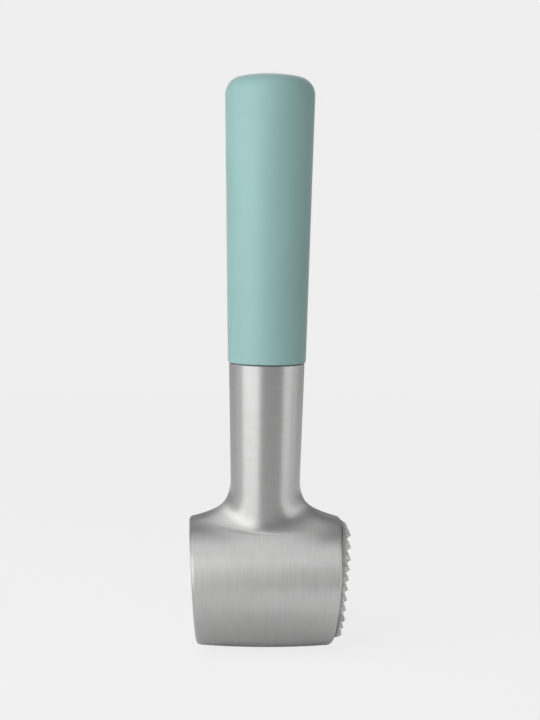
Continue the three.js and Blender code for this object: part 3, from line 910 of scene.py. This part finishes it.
class MALLET_OT_head(bpy.types.Operator):
    """Builds the brushed drum with its flared neck, hollow and with its seats"""

    bl_idname = "mallet.head"
    bl_label = "Brushed head"

    def execute(self, context):
        scene = context.scene
        head = scene.mallet_head
        skin = HeadSkin(head, scene.mallet_flare)
        points, quads = skin_mesh(skin, self.grid(head))
        points = settle_on(skin, points, head.skin_step / 2)
        points[:, 0] += AXIS_X
        piece = new_piece("brushed_drum_and_neck", points.tolist(), quads.tolist())
        for tool in self.tools(head, scene.mallet_faces):
            combine(piece, tool)
        shade_by_angle(piece, degrees=30)
        mark_neck(piece, skin)
        material = new_material("brushed_head", brushed_head, scene.mallet_finishes)
        finish_piece(piece, material, "head_body")
        # The stretched highlights follow the texture space, and one this thin lays them along the drum's axis
        mesh = piece.data
        mesh.use_auto_texspace = False
        mesh.texspace_location = (0, 0, 0)
        mesh.texspace_size = (1, MM / 100, 1)
        return {"FINISHED"}

    def grid(self, head):
        """The lines of the grid that the skin is worked out on, finer at the rims and at the neck's edge."""
        margin = 1.5 * MM
        rim_near, rim_far = 25.4 * MM, 31.6 * MM
        across = head.drum_radius + margin
        edge_low, edge_high = head.neck_top - 1 * MM, head.neck_top + 1 * MM
        return (
            stepped(
                (-rim_far, -rim_near, head.rim_step),
                (-rim_near, rim_near, head.skin_step),
                (rim_near, rim_far, head.rim_step),
            ),
            stepped((-across, across, head.skin_step)),
            stepped((-margin, edge_low, head.skin_step), (edge_low, edge_high, head.rim_step / 2)),
        )

    def tools(self, head, faces):
        """The solids that hollow the head and cut its seats."""
        past_face, past_neck = 10 * MM, 1 * MM  # how far the tools stand out
        smooth = face_place(-1, head.smooth_tilt, faces.smooth_reach)
        toothed = face_place(1, head.toothed_tilt, head.toothed_reach, faces.field_lift)
        quarter = Matrix.Rotation(math.radians(90), 4, "Y")
        drum = Matrix.Translation((AXIS_X, 0, head.drum_radius)) @ quarter
        yield cylinder("cavity", head.cavity_radius, -head.cavity_low, head.cavity_high, drum)
        seat_floor = -faces.smooth_thickness - faces.gap
        yield cylinder("smooth_seat", faces.smooth_radius + faces.gap, seat_floor, past_face, smooth)
        yield cylinder("register", faces.register_radius, -faces.register_depth, past_face, toothed)
        step = head.neck_top - head.collar_depth
        bore = [
            (0, head.drum_radius),
            (head.neck_bore, head.drum_radius),
            (head.neck_bore, step),
            (head.collar_radius, step),
            (head.collar_radius, head.neck_top + past_neck),
            (0, head.neck_top + past_neck),
        ]
        yield turned("neck_bore", bore, BORE_SEGMENTS, Matrix.Translation((AXIS_X, 0, 0)))


class MALLET_OT_smooth_face(bpy.types.Operator):
    """Turns the smooth striking plate"""

    bl_idname = "mallet.smooth_face"
    bl_label = "Smooth face"

    def execute(self, context):
        scene = context.scene
        faces = scene.mallet_faces
        radius, depth, edge = faces.smooth_radius, faces.smooth_thickness, faces.chamfer
        profile = [
            (0, -depth),
            (radius - edge, -depth),
            *arc(radius - edge, edge - depth, edge, -math.pi / 2, 0, 4)[1:],
            *arc(radius - edge / 2, -edge / 2, edge / 2, 0, math.pi / 2, 5),
            (0, 0),
        ]
        place = face_place(-1, scene.mallet_head.smooth_tilt, faces.smooth_reach)
        piece = turned("smooth_plate", profile, PIECE_SEGMENTS, place)
        shade_by_angle(piece)
        material = new_material("ground_plate", ground_plate, scene.mallet_finishes)
        finish_piece(piece, material, "smooth_face")
        return {"FINISHED"}


class MALLET_OT_toothed_face(bpy.types.Operator):
    """Builds the cast plate with its field of teeth"""

    bl_idname = "mallet.toothed_face"
    bl_label = "Toothed face"

    def execute(self, context):
        scene = context.scene
        head, faces = scene.mallet_head, scene.mallet_faces
        place = face_place(1, head.toothed_tilt, head.toothed_reach, faces.field_lift)
        top = faces.seat + faces.flange
        onto_plate = Matrix.Translation((-faces.row_rise, 0, top))
        material = new_material(
            "cast_teeth", cast_teeth, scene.mallet_finishes, place @ onto_plate, faces.height
        )
        values = {
            "Rows": faces.rows,
            "Seed": faces.seed,
            "Pitch": faces.pitch,
            "Tooth height": faces.height - faces.grain,
            "Tip width": faces.tip,
            "Unevenness": faces.uneven,
            "Material": material,
        }
        piece = run_tree("toothed_plate", tooth_field_tree(), values)
        self.close_field(piece, faces)
        self.wear_edges(piece, faces)
        piece.data.transform(onto_plate)
        self.trim(piece, faces, top)
        self.add_spigot(piece, faces)
        merge_slivers(piece, width=0.006 * MM)
        piece.data.transform(place)
        shade_by_angle(piece, degrees=24)
        finish_piece(piece, material, "toothed_face")
        return {"FINISHED"}

    def close_field(self, piece, faces):
        """Joins the teeth, gives them their cast grain and closes the field to a slab."""
        same_spot, lump, slab_floor = 0.02 * MM, 1.1 * MM, -3 * MM
        sideways = 0.6 * faces.grain
        with opened(piece) as shape:
            bmesh.ops.remove_doubles(shape, verts=shape.verts, dist=same_spot)
            for point in shape.verts:
                spot = point.co / lump
                point.co.z += faces.grain * noise.noise(spot)
                if not point.is_boundary:
                    point.co.x += sideways * noise.noise(spot + Vector((5.2, 0, 0)))
                    point.co.y += sideways * noise.noise(spot + Vector((0, 9.7, 0)))
            rim = [edge for edge in shape.edges if edge.is_boundary]
            walls = bmesh.ops.extrude_edge_only(shape, edges=rim)["geom"]
            for point in [item for item in walls if isinstance(item, bmesh.types.BMVert)]:
                point.co.z = slab_floor
            rim = [edge for edge in shape.edges if edge.is_boundary]
            bmesh.ops.holes_fill(shape, edges=rim)
            bmesh.ops.recalc_face_normals(shape, faces=shape.faces)

    def wear_edges(self, piece, faces):
        """Rounds the edges of the teeth a little."""
        bevel = piece.modifiers.new("worn_edges", "BEVEL")
        bevel.width = faces.edge
        bevel.segments = 2
        bevel.limit_method = "ANGLE"
        bevel.angle_limit = math.radians(30)
        take_modified(piece)

    def trim(self, piece, faces, top):
        """Trims the slab of teeth to the round plate."""
        chamfer, room = 0.2 * MM, 2 * MM
        radius = faces.field_radius
        low, high = faces.seat, top + faces.height + room
        disc = [(0, low), (radius - chamfer, low), (radius, low + chamfer), (radius, high), (0, high)]
        combine(piece, turned("field_disc", disc, TOOL_SEGMENTS), "INTERSECT")

    def add_spigot(self, piece, faces):
        """Joins the plate to the spigot that holds it in the head."""
        radius = faces.register_radius - faces.gap
        low, high, edge = -faces.spigot_length, faces.seat + faces.flange / 2, faces.chamfer
        spigot = [(0, low), (radius - edge, low), (radius, low + edge), (radius, high), (0, high)]
        combine(piece, turned("spigot", spigot, TOOL_SEGMENTS), "UNION")


class MALLET_OT_grip(bpy.types.Operator):
    """Turns the soft sleeve with its domed butt and its bore"""

    bl_idname = "mallet.grip"
    bl_label = "Soft grip"

    def execute(self, context):
        scene = context.scene
        grip = scene.mallet_grip
        low, top = sleeve_low.z, sleeve_high.z
        corner_radius = grip.butt_radius - grip.corner
        side_top = top - grip.crown + math.sqrt((grip.crown - grip.corner) ** 2 - corner_radius**2)
        slope = (grip.butt_radius - grip.low_radius) / (side_top - low)

        def side_at(z):
            return grip.low_radius + slope * (z - low)

        def bore_at(z):
            return side_at(z) - grip.wall

        turn = math.acos(corner_radius / (grip.crown - grip.corner))
        side_low = low + 2 * grip.edge
        side = [side_low + (side_top - side_low) * i / SIDE_STEPS for i in range(SIDE_STEPS)]
        bore_top = top - grip.butt_wall
        bore_corner = bore_top - grip.bore_corner
        core_low, core_high = (corner.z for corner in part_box("handle_core"))
        profile = [
            (bore_at(low), low),
            *arc(grip.low_radius - grip.edge, low + grip.edge, grip.edge, -math.pi / 2, 0, 8),
            *((side_at(z), z) for z in side),
            *arc(corner_radius, side_top, grip.corner, 0, turn, 20),
            *arc(0, top - grip.crown, grip.crown, turn, math.pi / 2, 24)[1:-1],
            (0, top),
            (0, bore_top),
            *arc(bore_at(bore_corner) - grip.bore_corner, bore_corner, grip.bore_corner, math.pi / 2, 0, 8),
            *self.groove(grip, core_high - grip.bead_inset, bore_at),
            *self.groove(grip, core_low + grip.bead_inset, bore_at),
            (bore_at(low), low),
        ]
        piece = turned("soft_sleeve", profile, PIECE_SEGMENTS, Matrix.Translation((AXIS_X, 0, 0)))
        shade_by_angle(piece)
        material = new_material("soft_grip", soft_grip, scene.mallet_finishes)
        finish_piece(piece, material, "grip_sleeve")
        return {"FINISHED"}

    def groove(self, grip, middle, bore_at):
        """A groove in the bore, from its top down."""
        half = grip.bead_length / 2
        return [
            (bore_at(middle + half), middle + half),
            (bore_at(middle) + grip.bead_height, middle),
            (bore_at(middle - half), middle - half),
        ]


class MALLET_OT_inner(bpy.types.Operator):
    """Gives the pieces inside the neck and the handle their materials"""

    bl_idname = "mallet.inner"
    bl_label = "Inner pieces"

    def execute(self, context):
        inner = (
            (turned_steel, ("neck_plug",)),
            (zinc_plate, ("stud", "flat_washer", "spring_washer", "hex_nut")),
            (silicone_seal, ("seal_ring",)),
            (core_plastic, ("handle_core", "core_plug")),
        )
        for shader, nodes in inner:
            material = new_material(shader.__name__, shader, context.scene.mallet_finishes)
            for node in nodes:
                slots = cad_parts[node].data.materials
                slots.clear()
                slots.append(material)
        return {"FINISHED"}


# The stage

# Each is a name, an azimuth and an elevation in degrees, a distance, a width and a height in metres, and
# for a soft box the setting with its radiance, for a flag its grey
SOFT_BOXES = (
    ("left_box", -52, 12, 0.75, (0.78, 0.8), "key"),
    ("right_box", 66, 2, 0.75, (0.40, 0.45), "side"),
    ("top_box", -44, 70, 0.8, (0.40, 0.34), "top"),
    ("matt_lamp", -42, 16, 0.75, (0.5, 0.5), "matt_key"),
)
FLAGS = (
    ("front_flag", 18, 4, 0.9, (1.22, 1.2), 0.06),
    ("left_rear_flag", -140, 26, 1.0, (1.2, 1.3), 0.38),
    ("middle_rear_flag", 180, 34, 1.05, (1.1, 1.4), 0.36),
    ("right_rear_flag", 138, 26, 1.0, (1.2, 1.3), 0.25),
    ("right_high_flag", 106, 56, 0.95, (0.8, 0.66), 0.22),
)
FLOOR_HALF = 3.0  # from the middle of the floor to its side, in metres


class MALLET_OT_studio(bpy.types.Operator):
    """Sets the camera, the soft boxes, the floor and the background"""

    bl_idname = "mallet.studio"
    bl_label = "Studio"

    def execute(self, context):
        scene = context.scene
        studio, backdrop = scene.mallet_studio, scene.mallet_finishes.backdrop
        scene.view_settings.view_transform = "Standard"
        self.place_camera(scene, studio)
        self.make_world(scene, studio, backdrop)
        floor = card("floor", FLOOR_HALF, FLOOR_HALF, Matrix.Translation((0, 0, cad_box[0].z)))
        floor.data.materials.append(new_material("floor", floor_shader, studio, backdrop))
        for name, *place, size, setting in SOFT_BOXES:
            lamp = soft_box(scene, name, studio_place(*place), size, getattr(studio, setting))
            lamp.visible_glossy = name != "matt_lamp"
        for name, *place, size, grey in FLAGS:
            flag(name, studio_place(*place), size, grey)
        return {"FINISHED"}

    def place_camera(self, scene, studio):
        """Puts the camera where the photograph was taken from."""
        data = bpy.data.cameras.new("camera")
        data.lens = studio.lens
        camera = bpy.data.objects.new("camera", data)
        scene.collection.objects.link(camera)
        aim = Vector((AXIS_X + studio.aim_side, 0, studio.aim_height))
        pitch, yaw = studio.pitch, studio.yaw
        level = math.cos(pitch)
        forward = Vector((math.sin(yaw) * level, math.cos(yaw) * level, -math.sin(pitch)))
        right = forward.cross(UP).normalized()
        place = Matrix((right, right.cross(forward), -forward)).transposed().to_4x4()
        place.translation = aim - studio.distance * forward
        camera.matrix_world = place @ Matrix.Rotation(studio.roll, 4, "Z")
        scene.camera = camera

    def make_world(self, scene, studio, backdrop):
        """Pale for the camera and for reflections, dimmer for matt surfaces."""
        scene.world = bpy.data.worlds.new("backdrop")
        scene.world.use_nodes = True
        scene.world.node_tree.nodes.clear()
        sheet = Shade(scene.world.node_tree)
        camera, glossy, through = direct_rays(sheet)
        seen = sheet.maths("MAXIMUM", sheet.maths("MAXIMUM", camera, glossy), through)

        def background(strength):
            return sheet.add("ShaderNodeBackground", None, {"Color": opaque(backdrop), "Strength": strength})

        surface = either(sheet, seen, background(studio.fill), background(1.0))
        sheet.add("ShaderNodeOutputWorld", None, {"Surface": surface})


def direct_rays(sheet):
    """Three sockets that are 1 for rays of the camera, of reflections and through glass."""
    camera = sheet.add("ShaderNodeLightPath", output="Is Camera Ray")
    return camera, camera.twin("Is Glossy Ray"), camera.twin("Is Transmission Ray")


def floor_shader(sheet, studio, backdrop):
    """The plain backdrop for the camera and in reflections, with the floor's own shade near the mallet."""
    place = object_place(sheet)
    fine = grain(sheet, place, (3, 3, 3))
    base = blended(sheet, fine, toned(backdrop, 0.99), opaque(backdrop))
    matt = sheet.add("ShaderNodeBsdfDiffuse", None, {"Color": base})
    pale = glow(sheet, backdrop)
    away = sheet.add("ShaderNodeVectorMath", {"operation": "LENGTH"}, {0: place}, "Value")
    camera, glossy, through = direct_rays(sheet)
    close = between(sheet, away, studio.near, 3 * studio.near, 1.0, 0.0)
    close_gloss = between(sheet, away, studio.near_gloss / 3, studio.near_gloss, 1.0, 0.0)
    shaded = either(sheet, studio.shadow, glow(sheet, backdrop, studio.lift), matt)
    for_camera = either(sheet, close, pale, shaded)
    for_gloss = either(sheet, close_gloss, pale, matt)
    rest = either(sheet, glossy, matt, for_gloss)
    return either(sheet, sheet.maths("MAXIMUM", camera, through), rest, for_camera)


def studio_place(azimuth, elevation, distance):
    """A place that looks at the mallet's middle. The azimuth is in degrees, from the front to the right."""
    turn, rise = math.radians(azimuth), math.radians(elevation)
    out = Vector((math.sin(turn) * math.cos(rise), -math.cos(turn) * math.cos(rise), math.sin(rise)))
    middle = Vector((AXIS_X, 0, (cad_box[0].z + cad_box[1].z) / 2))
    across = UP.cross(out).normalized()
    place = Matrix((across, out.cross(across), out)).transposed().to_4x4()
    place.translation = middle + distance * out
    return place


def soft_box(scene, name, place, size, radiance):
    """An area lamp, with the watts that give it its radiance at this size."""
    data = bpy.data.lights.new(name, "AREA")
    data.shape = "RECTANGLE"
    data.size, data.size_y = size
    data.energy = 4 * radiance * size[0] * size[1]
    lamp = bpy.data.objects.new(name, data)
    scene.collection.objects.link(lamp)
    lamp.matrix_world = place
    return lamp


def card(name, x, y, place):
    """A flat card that reaches x and y to each side of its middle."""
    piece = new_piece(name, [(-x, -y, 0), (x, -y, 0), (x, y, 0), (-x, y, 0)], [(0, 1, 2, 3)])
    piece.data.transform(place)
    return piece


def flag(name, place, size, grey):
    """A grey card that only reflections show."""
    piece = card(name, size[0] / 2, size[1] / 2, place)
    piece.data.materials.append(new_material(name, glow, (grey, grey, grey)))
    piece.visible_camera = False
    piece.visible_diffuse = False
    piece.visible_transmission = False
    piece.visible_shadow = False


# Sidebar

OPERATORS = (
    MALLET_OT_head,
    MALLET_OT_smooth_face,
    MALLET_OT_toothed_face,
    MALLET_OT_grip,
    MALLET_OT_inner,
    MALLET_OT_studio,
)

SETTINGS = {
    "mallet_head": HeadSizes,
    "mallet_flare": FlareSizes,
    "mallet_faces": FaceSizes,
    "mallet_grip": GripSizes,
    "mallet_finishes": Finishes,
    "mallet_studio": Studio,
}


class MALLET_PT_build(bpy.types.Panel):
    """Lists the steps that build the mallet, and its settings"""

    bl_idname = "MALLET_PT_build"
    bl_label = "Meat mallet"
    bl_space_type = "VIEW_3D"
    bl_region_type = "UI"
    bl_category = "Mallet"

    def draw(self, context):
        for operator in OPERATORS:
            self.layout.operator(operator.bl_idname)
        for name, group in SETTINGS.items():
            box = self.layout.box()
            box.label(text=group.__doc__)
            for key in group.__annotations__:
                box.prop(getattr(context.scene, name), key)


def register():
    for cls in (*SETTINGS.values(), *OPERATORS, MALLET_PT_build):
        bpy.utils.register_class(cls)
    for name, group in SETTINGS.items():
        setattr(bpy.types.Scene, name, bpy.props.PointerProperty(type=group))


def unregister():
    for name in SETTINGS:
        delattr(bpy.types.Scene, name)
    for cls in reversed((*SETTINGS.values(), *OPERATORS, MALLET_PT_build)):
        bpy.utils.unregister_class(cls)


def main():
    register()
    bpy.ops.mallet.head()
    bpy.ops.mallet.smooth_face()
    bpy.ops.mallet.toothed_face()
    bpy.ops.mallet.grip()
    bpy.ops.mallet.inner()
    bpy.ops.mallet.studio()


if __name__ == "__main__":
    main()
